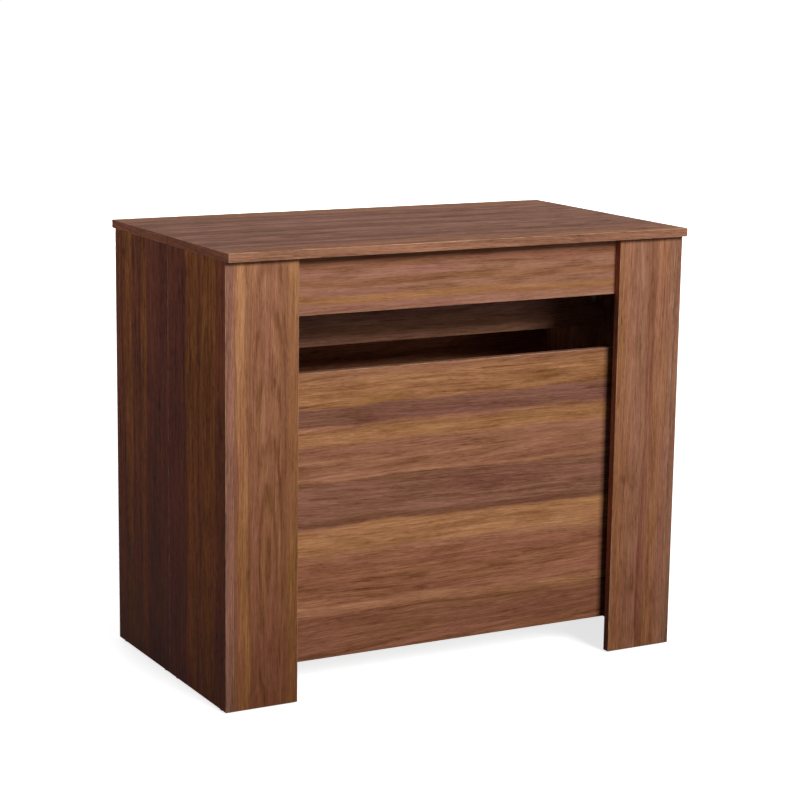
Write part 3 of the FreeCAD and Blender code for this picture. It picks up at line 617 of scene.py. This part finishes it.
def walnut(
    board, axes, strips, number,
    flip=False, arch_start=-0.3, dip=0.12, coarse=1.0, contrast=1.0, shade_foot=1.0,
):
    """The walnut print for one board, with axes naming its grain, its width and its thickness.

    The tone darkens along the grain towards its low end, down to the share given last, as painted shade."""
    material, tree, shader = new_material("walnut_" + board)
    low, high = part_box(board)
    picks = ["XYZ".index(axis) for axis in axes]
    length, wide = picks[:2]
    coordinates = add(tree, "ShaderNodeTexCoord").outputs
    place = separate(tree, coordinates["Object"])
    facing = separate(tree, coordinates["Normal"])
    faces = place_group(tree, board_faces, {
        "Place": combine(tree, *[place[i] for i in picks]),
        "Facing": combine(tree, *[facing[i] for i in picks]),
        "Low": [low[i] for i in picks],
        "High": [high[i] for i in picks],
    })
    ends = (high[wide], low[wide]) if flip else (low[wide], high[wide])
    waves = noise(tree, scaled(tree, coordinates["Object"], 1 / BORDER_WAVE), BORDER_DETAIL)
    wave = calculate(tree, "SUBTRACT", waves, NOISE_MIDDLE)
    border = calculate(tree, "MULTIPLY_ADD", wave, BORDER_SWING, place[wide])
    position = remap(tree, border, old=ends)
    colour, facts = strip_ramps(tree, position, strips, high[wide] - low[wide], number)
    strip, middle, arch = add(tree, "ShaderNodeSeparateColor", {"Color": facts}).outputs
    figure = place_group(tree, walnut_figure, {
        "Along": faces["Along"],
        "Across": faces["Across"],
        "Through": faces["Through"],
        "Strip": strip,
        "Heart": remap(tree, middle, new=ends),
        "Arch": arch,
        "Arch Start": arch_start,
        "Dip": dip,
        "Coarse": coarse,
        "Contrast": contrast,
    })
    banded = mix_colours(tree, faces["Band"], colour, BAND_TONE)
    # The rim lifts the tone there as a painted highlight.
    highlit_tone = calculate(tree, "MULTIPLY_ADD", faces["Rim"], HIGHLIGHT_RIM_LIFT, figure["Tone"])
    # Painted shade: the tone darkens towards the low end of the grain.
    painted_falloff = remap(tree, place[length], (low[length], high[length]), (shade_foot, 1.0))
    tone = calculate(tree, "MULTIPLY", highlit_tone, painted_falloff)
    deep_green = calculate(tree, "POWER", tone, GREEN_POWER)
    deep_blue = calculate(tree, "POWER", tone, BLUE_POWER)
    green = calculate(tree, "MULTIPLY_ADD", figure["Warmth"], WARM_GREEN, deep_green)
    blue = calculate(tree, "MULTIPLY_ADD", figure["Warmth"], WARM_BLUE, deep_blue)
    shaded = vector_math(tree, "MULTIPLY", banded, combine(tree, tone, green, blue))
    feed(tree, shader.inputs["Base Color"], shaded)
    satin(tree, shader, figure["Pores"])
    dents = calculate(tree, "MULTIPLY", figure["Pores"], -1.0)
    bump = add(tree, "ShaderNodeBump", {"Height": dents, "Strength": PORE_BUMP, "Distance": PORE_DEPTH})
    feed(tree, shader.inputs["Normal"], bump.outputs["Normal"])
    return material


print("Walnut film: roughness", SATIN_ROUGHNESS, "and specular level", SATIN_SPECULAR)

# %% [markdown]
# ## Walnut boards: strips of the wide boards
# The lists run from the upper edge down, and on the front top from the front edge to the middle. The panel
# shows most, so its strips keep the real panel's order and tones. The top's strips are narrow, because it
# is seen at a flat angle, and its pale dusky strips paint the sheen that shows at that angle.

# %% Strips across the table
PANEL_STRIPS = [
    ("honey", 16, 0.3),
    ("golden", 46, 0.65),
    ("prune", 34, 0.2),
    ("honey", 10, 0.2),
    ("golden", 26, 0.3),
    ("reddish", 56, 0.5),
    ("honey", 5, 0.0),
    ("plum", 68, 0.4),
    ("umber", 12, 0.1),
    ("golden", 44, 0.4),
    ("honey", 14, 0.2),
    ("russet", 80, 0.6),
    ("honey", 16, 0.2),
    ("cocoa", 77, 0.5),
]
APRON_STRIPS = [
    ("reddish", 26, 0.3),
    ("blush", 18, 0.8),
    ("honey", 12, 0.6),
    ("blush", 14, 0.6),
    ("golden", 14, 0.3),
    ("blush", 16, 0.3),
]
TOP_STRIPS = [
    ("golden", 16, 0.3),
    ("rose", 20, 0.3),
    ("reddish", 6, 0.1),
    ("blush", 16, 0.3),
    ("plum", 14, 0.2),
    ("reddish", 8, 0.1),
    ("dusky_and_sheen", 24, 0.4),
    ("umber", 7, 0.1),
    ("plum", 22, 0.3),
    ("reddish", 8, 0.1),
    ("dusky_and_sheen", 34, 0.5),
    ("plum", 20, 0.3),
    ("reddish", 8, 0.1),
    ("dusky_and_sheen", 30, 0.4),
    ("plum", 21, 0.3),
]
RAIL_STRIPS = [("dusky_and_sheen", 60, 0.5), ("blush", 40, 0.3)]
print("Strips on panel, apron, top and rail:", [
    len(strips) for strips in (PANEL_STRIPS, APRON_STRIPS, TOP_STRIPS, RAIL_STRIPS)
])

# %% [markdown]
# ## Walnut boards: strips of the upright boards
# The lists run from left to right on the legs, and from front to rear on the sides. The left side is printed
# in darker, redder tones than the rest, as painted shade on the side away from the light, and no two sides
# are alike, as they come from different sheets.

# %% Strips of legs and sides
LEG_STRIPS = {
    "left": [
        ("rose", 6, 0.1),
        ("amber", 18, 0.1),
        ("honey", 5, 0.1),
        ("rose", 11, 0.1),
        ("rose", 46, 1.0),
        ("honey", 12, 0.2),
        ("golden", 20, 0.2),
    ],
    "right": [
        ("golden", 8, 0.1),
        ("rose", 22, 0.2),
        ("blush", 31, 0.4),
        ("reddish", 16, 0.1),
        ("rose", 27, 0.3),
        ("blush", 14, 0.1),
    ],
}
SIDE_STRIPS = {
    "front_left": [
        ("shaded_mahogany", 42, 0.3),
        ("shaded_tobacco", 60, 0.4),
        ("shaded_mahogany", 14, 0.1),
        ("shaded_tobacco", 46, 0.2),
        ("shaded_wine", 78, 0.3),
    ],
    "rear_left": [
        ("shaded_wine", 96, 0.2),
        ("shaded_tobacco", 26, 0.2),
        ("shaded_wine", 8, 0.1),
        ("shaded_mahogany", 30, 0.2),
        ("shaded_tobacco", 40, 0.3),
        ("shaded_wine", 10, 0.1),
        ("shaded_mahogany", 30, 0.2),
    ],
    "front_right": [("russet", 58, 0.3), ("golden", 40, 0.3), ("reddish", 72, 0.5), ("plum", 70, 0.2)],
    "rear_right": [("umber", 34, 0.2), ("plum", 60, 0.3), ("cocoa", 44, 0.3), ("russet", 102, 0.5)],
}
print("Strips on the sides:", {side: len(strips) for side, strips in SIDE_STRIPS.items()})

# %% [markdown]
# ## Walnut boards: dressing them
# Grain runs across the table on the tops, aprons, panels and rails, and upright on the sides and legs. The
# rear panel has its print the other way up, which puts a dark strip behind the open slot as painted shade.

# %% Boards
PANEL_LOOK = {"dip": 0.075}
APRON_LOOK = {"dip": 0.09, "contrast": 0.8}
# A foot below 1 is painted shade: the tone darkens towards the low end of the grain, which is the floor on
# legs and sides and the left end on the top.
TOP_LOOK = {"coarse": 1.6, "contrast": 1.4, "shade_foot": 0.87}
LEG_LOOKS = {
    "left": {"arch_start": 0.05, "contrast": 0.88, "shade_foot": 0.42},
    "right": {"arch_start": 0.05, "shade_foot": 0.58},
}
SIDE_LOOKS = {
    "left": {"arch_start": 0.4, "coarse": 2.0, "contrast": 1.9},
    "right": {"arch_start": 0.2, "coarse": 1.3, "contrast": 1.1},
}
# The left sides darken most towards the floor, as painted shade on the side away from the light.
SIDE_SHADE_FOOT = {"front_left": 0.27, "rear_left": 0.18, "front_right": 0.62, "rear_right": 0.62}


def dress(node, material):
    """Gives a CAD node its material."""
    piece = nodes[node]
    if not piece.material_slots:
        piece.data.materials.append(material)
    for slot in piece.material_slots:
        slot.material = material


number = 0
for half in ("front", "rear"):
    across_boards = {
        # The rear panel's print is turned so that its dark strip paints shade behind the open slot.
        "lower_panel": ("XZY", PANEL_STRIPS, half == "front", PANEL_LOOK),
        "apron": ("XZY", APRON_STRIPS, True, APRON_LOOK),
        "inner_rail": ("XZY", RAIL_STRIPS, True, {}),
        "top": ("XYZ", TOP_STRIPS, half == "rear", TOP_LOOK),
    }
    for name, (axes, strips, flip, look) in across_boards.items():
        number += 1
        board = f"{half}_{name}"
        dress(board, walnut(board, axes, strips, number, flip, **look))
    for hand, look in SIDE_LOOKS.items():
        number += 1
        corner = f"{half}_{hand}"
        board = corner + "_side"
        dress(board, walnut(board, "ZYX", SIDE_STRIPS[corner], number, shade_foot=SIDE_SHADE_FOOT[corner], **look))
        board = corner + "_leg"
        dress(board, walnut(board, "ZXY", LEG_STRIPS[hand], number, **LEG_LOOKS[hand]))
dressed = [name for name in nodes if nodes[name].active_material.name == "walnut_" + name]
print(len(dressed), "boards dressed")

# %% [markdown]
# ## Edge bands: which edges have one
# The cut edges of a board that show are covered by a plastic band about 1.6 mm thick. Its paler arris draws
# a thin pale line round each face, partly wear and partly painted highlight. A band follows the edges of its
# board, so these are laid out first, as wires just inside the board. The edges that butt against another
# board, and the tops' meeting edges with their pin holes, have none.

# %% Edge wires
ARRIS = 0.0008


def banded_edges(half):
    """Each board of a half with its face's two axes and its banded runs, from corner to corner.

    A corner is a pair of ends along the two axes, 0 for the lower end and 1 for the higher one."""
    outer = 0 if half == "front" else 1
    meeting = 1 - outer
    lower_run = [(0, 0), (1, 0)]
    upper_run = [(0, 1), (1, 1)]
    runs = {
        "top": ("XY", [[(0, meeting), (0, outer), (1, outer), (1, meeting)]]),
        "apron": ("XZ", [lower_run]),
        "lower_panel": ("XZ", [lower_run, upper_run]),
        "inner_rail": ("XZ", [lower_run, upper_run]),
    }
    for hand, inner in (("left", 1), ("right", 0)):
        runs[hand + "_side"] = ("YZ", [[(outer, 1), (outer, 0), (meeting, 0), (meeting, 1)]])
        runs[hand + "_leg"] = ("XZ", [[(inner, 1), (inner, 0), (1 - inner, 0)]])
    return runs


def edge_wires(half):
    """A wire mesh of a half's banded edges, where each point knows which way its board's face looks."""
    corners = []
    edges = []
    flat_sides = []
    for board, (axes, runs) in banded_edges(half).items():
        low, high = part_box(f"{half}_{board}")
        picks = ["XYZ".index(axis) for axis in axes]
        flat_side = [float(axis not in axes) for axis in "XYZ"]
        for run in runs:
            for step, ends in enumerate(run):
                point = [(a + b) / 2 for a, b in zip(low, high)]
                for axis, end in zip(picks, ends):
                    point[axis] = high[axis] - ARRIS if end else low[axis] + ARRIS
                if step:
                    edges.append((len(corners) - 1, len(corners)))
                corners.append(point)
                flat_sides += flat_side
    mesh = bpy.data.meshes.new(half + "_edge_wires")
    mesh.from_pydata(corners, edges, [])
    mesh.attributes.new("flat_side", "FLOAT_VECTOR", "POINT").data.foreach_set("vector", flat_sides)
    return mesh


wires = {half: edge_wires(half) for half in ("front", "rear")}
print("Banded edges per half:", [len(mesh.edges) for mesh in wires.values()])

# %% [markdown]
# ## Edge bands: sweeping them
# The band could be an extruded face on each board, but it is one strip everywhere, so Geometry Nodes sweep
# one rounded profile along every wire. The band stands a hair proud of the board, so that it covers the
# board's own edge. Distances along and around the band are stored for its print.

# %% Tree: edge band
BOARD_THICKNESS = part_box("front_apron")[1].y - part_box("front_apron")[0].y
BAND_LIFT = 0.00003
CORNER_STEPS = 4
CORNER_SHARE = 0.99

edge_band, given, result = new_group(
    "edge_band",
    {"Wires": "Geometry", "Thickness": "Float", "Arris": "Float", "Lift": "Float", "Finish": "Material"},
    {"Bands": "Geometry"},
    "GeometryNodeTree",
)
tree = edge_band
radius = calculate(tree, "ADD", given["Arris"], given["Lift"])
slim = calculate(tree, "MULTIPLY", radius, 2.0)
tall = calculate(tree, "MULTIPLY_ADD", given["Lift"], 2.0, given["Thickness"])
run_length = add(tree, "GeometryNodeSplineParameter").outputs["Length"]


def measured(curve, name):
    """The curve with its running length stored at each point."""
    inputs = {"Geometry": curve, "Name": name, "Value": run_length}
    return add(tree, "GeometryNodeStoreNamedAttribute", inputs).outputs["Geometry"]


def rounded(curve, size):
    """The curve with its corners turned into small arcs."""
    inputs = {"Curve": curve, "Radius": size, "Count": CORNER_STEPS}
    return add(tree, "GeometryNodeFilletCurve", inputs, mode="POLY").outputs["Curve"]


wire = add(tree, "GeometryNodeMeshToCurve", {"Mesh": given["Wires"]}).outputs["Curve"]
turned_wire = rounded(wire, given["Lift"])
flat_side = add(tree, "GeometryNodeInputNamedAttribute", {"Name": "flat_side"}, data_type="FLOAT_VECTOR")
facing = {"Curve": turned_wire, "Normal": flat_side.outputs["Attribute"]}
held_wire = add(tree, "GeometryNodeSetCurveNormal", facing, mode="FREE").outputs["Curve"]
strip_size = {"Width": tall, "Height": slim}
strip = add(tree, "GeometryNodeCurvePrimitiveQuadrilateral", strip_size).outputs["Curve"]
round_strip = rounded(strip, calculate(tree, "MULTIPLY", radius, CORNER_SHARE))
sweep = {
    "Curve": measured(held_wire, "run"),
    "Profile Curve": measured(round_strip, "girth"),
    "Fill Caps": True,
}
bands = add(tree, "GeometryNodeCurveToMesh", sweep).outputs["Mesh"]
shading = {"Geometry": bands, "Shade Smooth": False}
flat = add(tree, "GeometryNodeSetShadeSmooth", shading).outputs["Geometry"]
real = add(tree, "GeometryNodeRealizeInstances", {"Geometry": flat}).outputs["Geometry"]
done = add(tree, "GeometryNodeSetMaterial", {"Geometry": real, "Material": given["Finish"]})
feed(tree, result["Bands"], done.outputs["Geometry"])
print("Tree edge_band:", len(edge_band.nodes), "nodes")

# %% [markdown]
# ## Edge bands: the worn and highlit arris
# On the arris, the rounded corner between edge and face, the print is rubbed through to paler plastic, more
# in some places than in others, and the same paler tone is a painted highlight along every arris. All bands
# lie along the axes, so the arris is where the surface faces none of them squarely.

# %% Group: worn and highlit arris
SQUARE_ON = (0.99, 0.86)
RUB_LENGTH = 0.03
RUB_DETAIL = 3.0
RUB_SPAN = (0.35, 0.65)
LEAST_RUB = 0.2

rubbed_arris, given, result = new_group(
    "rubbed_arris",
    {"Facing": "Vector", "Along": "Float"},
    {"Rubbed": "Float"},
)
tree = rubbed_arris
steep = separate(tree, vector_math(tree, "ABSOLUTE", given["Facing"]))
most = calculate(tree, "MAXIMUM", calculate(tree, "MAXIMUM", steep["X"], steep["Y"]), steep["Z"])
rub_place = combine(tree, calculate(tree, "DIVIDE", given["Along"], RUB_LENGTH), 0.0, 0.0)
rubs = fade(tree, noise(tree, rub_place, RUB_DETAIL), *RUB_SPAN)
share = remap(tree, rubs, new=(LEAST_RUB, 1.0))
feed(tree, result["Rubbed"], calculate(tree, "MULTIPLY", fade(tree, most, *SQUARE_ON), share))
print("Group rubbed_arris:", len(rubbed_arris.nodes), "nodes")

# %% [markdown]
# ## Edge bands: their print
# The band has a plain walnut print of its own, pinker than the boards, with its grain along the band. The
# stored distances serve as its coordinates, so the grain turns the corners with it.

# %% Material: edge band
ARRIS_WEAR_AND_HIGHLIGHT_TONE = srgb(222, 186, 160)
SIDE_BAND_TONE = srgb(155, 107, 87)
# The tone below is painted shade, for band faces that look left.
PAINTED_SHADE_BAND_TONE = srgb(174, 108, 82)
SQUARE_LEFT = -0.7
BAND_SHADE_FOOT = 0.51
BAND_COARSE = 1.0
BAND_CONTRAST = 1.4

band_finish, tree, shader = new_material("walnut_edge_band")
run = add(tree, "ShaderNodeAttribute", attribute_name="run").outputs["Fac"]
girth = add(tree, "ShaderNodeAttribute", attribute_name="girth").outputs["Fac"]
figure = place_group(tree, walnut_figure, {
    "Along": run,
    "Across": girth,
    "Coarse": BAND_COARSE,
    "Contrast": BAND_CONTRAST,
})
flat_side = separate(tree, add(tree, "ShaderNodeAttribute", attribute_name="flat_side").outputs["Vector"])
coordinates = add(tree, "ShaderNodeTexCoord").outputs
place = separate(tree, coordinates["Object"])
facing = separate(tree, coordinates["Normal"])
left_half = calculate(tree, "LESS_THAN", place["X"], 0.0)
on_left_side = calculate(tree, "MULTIPLY", flat_side["X"], left_half)
# Faces that look left get a redder tone, painted shade for the side away from the light.
shaded_left_faces = calculate(tree, "LESS_THAN", facing["X"], SQUARE_LEFT)
worn_and_highlit = place_group(tree, rubbed_arris, {"Facing": coordinates["Normal"], "Along": run})["Rubbed"]
tone = mix_colours(tree, on_left_side, BAND_TONE, SIDE_BAND_TONE)
tone = mix_colours(tree, shaded_left_faces, tone, PAINTED_SHADE_BAND_TONE)
# The arris is paler, partly wear and partly a painted highlight.
tone = mix_colours(tree, worn_and_highlit, tone, ARRIS_WEAR_AND_HIGHLIGHT_TONE)
# Painted shade: the bands darken towards the floor.
painted_falloff = remap(tree, place["Z"], (cad_low.z, cad_high.z), (BAND_SHADE_FOOT, 1.0))
level = calculate(tree, "MULTIPLY", figure["Tone"], painted_falloff)
feed(tree, shader.inputs["Base Color"], scaled(tree, tone, level))
satin(tree, shader, figure["Pores"])
print("Edge bands have a finish")

# %% [markdown]
# ## Edge bands: growing them
# A tree is only a recipe. A modifier runs it over the wires of each half, and the result is kept as a plain
# mesh, because a finished piece has to stand without its modifier. Each half's bands ride with that half.

# %% Edge bands on both halves


def grown(name, mesh, tree, values):
    """A plain mesh piece, made by running a Geometry Nodes tree with these values over a mesh."""
    seed = bpy.data.objects.new(name + "_seed", mesh)
    bpy.context.scene.collection.objects.link(seed)
    modifier = seed.modifiers.new(name, "NODES")
    modifier.node_group = tree
    for socket in tree.interface.items_tree:
        if socket.name in values:
            modifier[socket.identifier] = values[socket.name]
    ready = seed.evaluated_get(bpy.context.evaluated_depsgraph_get())
    piece = bpy.data.objects.new(name, bpy.data.meshes.new_from_object(ready))
    piece.data.name = name
    bpy.context.scene.collection.objects.link(piece)
    bpy.data.objects.remove(seed)
    return piece


band_values = {"Thickness": BOARD_THICKNESS, "Arris": ARRIS, "Lift": BAND_LIFT, "Finish": band_finish}
for half, mesh in wires.items():
    piece = grown(half + "_edge_bands", mesh, edge_band, band_values)
    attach(piece, half + "_half")
    size = [round(d, 4) for d in piece.dimensions]
    print(piece.name, "has", len(piece.data.polygons), "faces, size", size)

# %% [markdown]
# ## Fittings: lines and grain
# The closed table hides its fittings, but the runners and their shoes show as soon as it is pulled out. Two
# effects serve them all. What was drawn, rolled or grown has fine lines in one direction, which is noise
# stretched that way. What was cast or moulded has an even grain, which is noise of one size. Both get slow
# patches, because nothing that was handled is even.

# %% Groups: drawn lines and cast grain
MARK_SPAN = (0.30, 0.70)
LINE_DETAIL = 3.0
LINE_ROUGHNESS = 0.6
GRAIN_DETAIL = 2.0
PATCH_SIZE = 0.02
PATCH_DETAIL = 3.0
PATCH_SPAN = (0.35, 0.65)


def slow_patches(tree, place):
    """A mask of soft patches of one size."""
    return fade(tree, noise(tree, scaled(tree, place, 1 / PATCH_SIZE), PATCH_DETAIL), *PATCH_SPAN)


drawn_lines, given, result = new_group(
    "drawn_lines",
    {"Along": "Float", "Across": "Float", "Through": "Float", "Length": "Float", "Width": "Float"},
    {"Lines": "Float", "Patches": "Float"},
)
tree = drawn_lines
stretched = combine(
    tree,
    calculate(tree, "DIVIDE", given["Along"], given["Length"]),
    calculate(tree, "DIVIDE", given["Across"], given["Width"]),
    calculate(tree, "DIVIDE", given["Through"], given["Width"]),
)
lines = noise(tree, stretched, LINE_DETAIL, LINE_ROUGHNESS)
feed(tree, result["Lines"], fade(tree, lines, *MARK_SPAN))
even = combine(tree, given["Along"], given["Across"], given["Through"])
feed(tree, result["Patches"], slow_patches(tree, even))

cast_grain, given, result = new_group(
    "cast_grain",
    {"Place": "Vector", "Size": "Float"},
    {"Grain": "Float", "Patches": "Float"},
)
tree = cast_grain
finer = calculate(tree, "DIVIDE", 1.0, given["Size"])
grain = noise(tree, scaled(tree, given["Place"], finer), GRAIN_DETAIL)
feed(tree, result["Grain"], fade(tree, grain, *MARK_SPAN))
feed(tree, result["Patches"], slow_patches(tree, given["Place"]))
print("Groups drawn_lines and cast_grain:", len(drawn_lines.nodes), "and", len(cast_grain.nodes), "nodes")

# %% [markdown]
# ## Fittings: how a finish is laid on
# A mask made of fine marks and slow patches moves a finish between a dark and a pale colour, and between
# its smooth and its rough end. The marks alone stand out as relief.

# %% Finish helpers
RELIEF_STRENGTH = 0.5
PATCH_SHARE = 0.35


def new_finish(name, metallic):
    """A new material, with its tree, its shader and its object coordinates."""
    material, tree, shader = new_material(name)
    shader.inputs["Metallic"].default_value = metallic
    return material, tree, shader, add(tree, "ShaderNodeTexCoord").outputs["Object"]


def lay_on(tree, shader, marks, patches, colours, roughness, relief):
    """Lets marks and slow patches move a shader's colour and roughness, and lets the marks stand out."""
    fine_share = calculate(tree, "MULTIPLY", marks, 1 - PATCH_SHARE)
    mask = calculate(tree, "MULTIPLY_ADD", patches, PATCH_SHARE, fine_share)
    feed(tree, shader.inputs["Base Color"], mix_colours(tree, mask, *colours))
    feed(tree, shader.inputs["Roughness"], remap(tree, mask, new=roughness))
    bump = add(tree, "ShaderNodeBump", {"Height": marks, "Strength": RELIEF_STRENGTH, "Distance": relief})
    feed(tree, shader.inputs["Normal"], bump.outputs["Normal"])


def drawn(name, axes, colours, line, roughness, relief, metallic=0.0):
    """A finish with lines along the first of its axes, of that length and width."""
    material, tree, shader, place = new_finish(name, metallic)
    ways = separate(tree, place)
    along, across, through = [ways[axis] for axis in axes]
    inputs = {"Along": along, "Across": across, "Through": through, "Length": line[0], "Width": line[1]}
    effect = place_group(tree, drawn_lines, inputs)
    lay_on(tree, shader, effect["Lines"], effect["Patches"], colours, roughness, relief)
    return material


def cast(name, colours, grain, roughness, relief, metallic=0.0):
    """A finish with an even grain of that size."""
    material, tree, shader, place = new_finish(name, metallic)
    effect = place_group(tree, cast_grain, {"Place": place, "Size": grain})
    lay_on(tree, shader, effect["Grain"], effect["Patches"], colours, roughness, relief)
    return material


print("Finish helpers are ready")

# %% [markdown]
# ## Fittings: their finishes
# The runners are mill-finish aluminium with the fine lines of the extruder's die. Brackets, screws and bolts
# are zinc-plated steel, the cams are cast zinc, the shoes and glides are moulded nylon, and the dowels are
# beech. Lengths of lines, sizes of grain and the depth of the relief are in metres.

# %% Materials: fittings
ALUMINIUM = [srgb(160, 162, 165), srgb(203, 205, 208)]
ZINC_PLATE = [srgb(150, 153, 158), srgb(196, 196, 192)]
CAST_ZINC = [srgb(120, 121, 123), srgb(164, 165, 167)]
BLACK_NYLON = [srgb(24, 24, 26), srgb(44, 44, 46)]
BROWN_NYLON = [srgb(44, 34, 28), srgb(66, 54, 46)]
BEECH = [srgb(178, 132, 90), srgb(214, 174, 128)]
BEECH_LOOK = {"line": (0.02, 0.0006), "roughness": (0.55, 0.75), "relief": 0.00005}

finishes = {
    "runner_aluminium": drawn(
        "mill_aluminium", "YXZ", ALUMINIUM,
        line=(0.25, 0.0005), roughness=(0.26, 0.44), relief=0.00003, metallic=1.0,
    ),
    "zinc_steel": drawn(
        "zinc_plated_steel", "YXZ", ZINC_PLATE,
        line=(0.03, 0.0008), roughness=(0.24, 0.42), relief=0.00002, metallic=1.0,
    ),
    "zinc_cam": cast(
        "cast_zinc", CAST_ZINC,
        grain=0.0007, roughness=(0.38, 0.58), relief=0.00006, metallic=1.0,
    ),
    "shoe_plastic": cast("black_nylon", BLACK_NYLON, grain=0.0005, roughness=(0.36, 0.56), relief=0.00004),
    "glide_plastic": cast("brown_nylon", BROWN_NYLON, grain=0.0006, roughness=(0.45, 0.65), relief=0.00004),
    "beech_dowel": drawn("beech_across", "XYZ", BEECH, **BEECH_LOOK),
}
pin_beech = drawn("beech_along", "YXZ", BEECH, **BEECH_LOOK)

for subpart in frame["record"]["subparts"]:
    slot = subpart["material_slot"]
    if slot in finishes:
        dress(subpart["node"], finishes[slot])
dress("alignment_pins", pin_beech)
plain = [name for name, node in nodes.items() if node.active_material.name.startswith(tuple(finishes))]
print(len(finishes), "finishes on the fittings, nodes left plain:", plain)
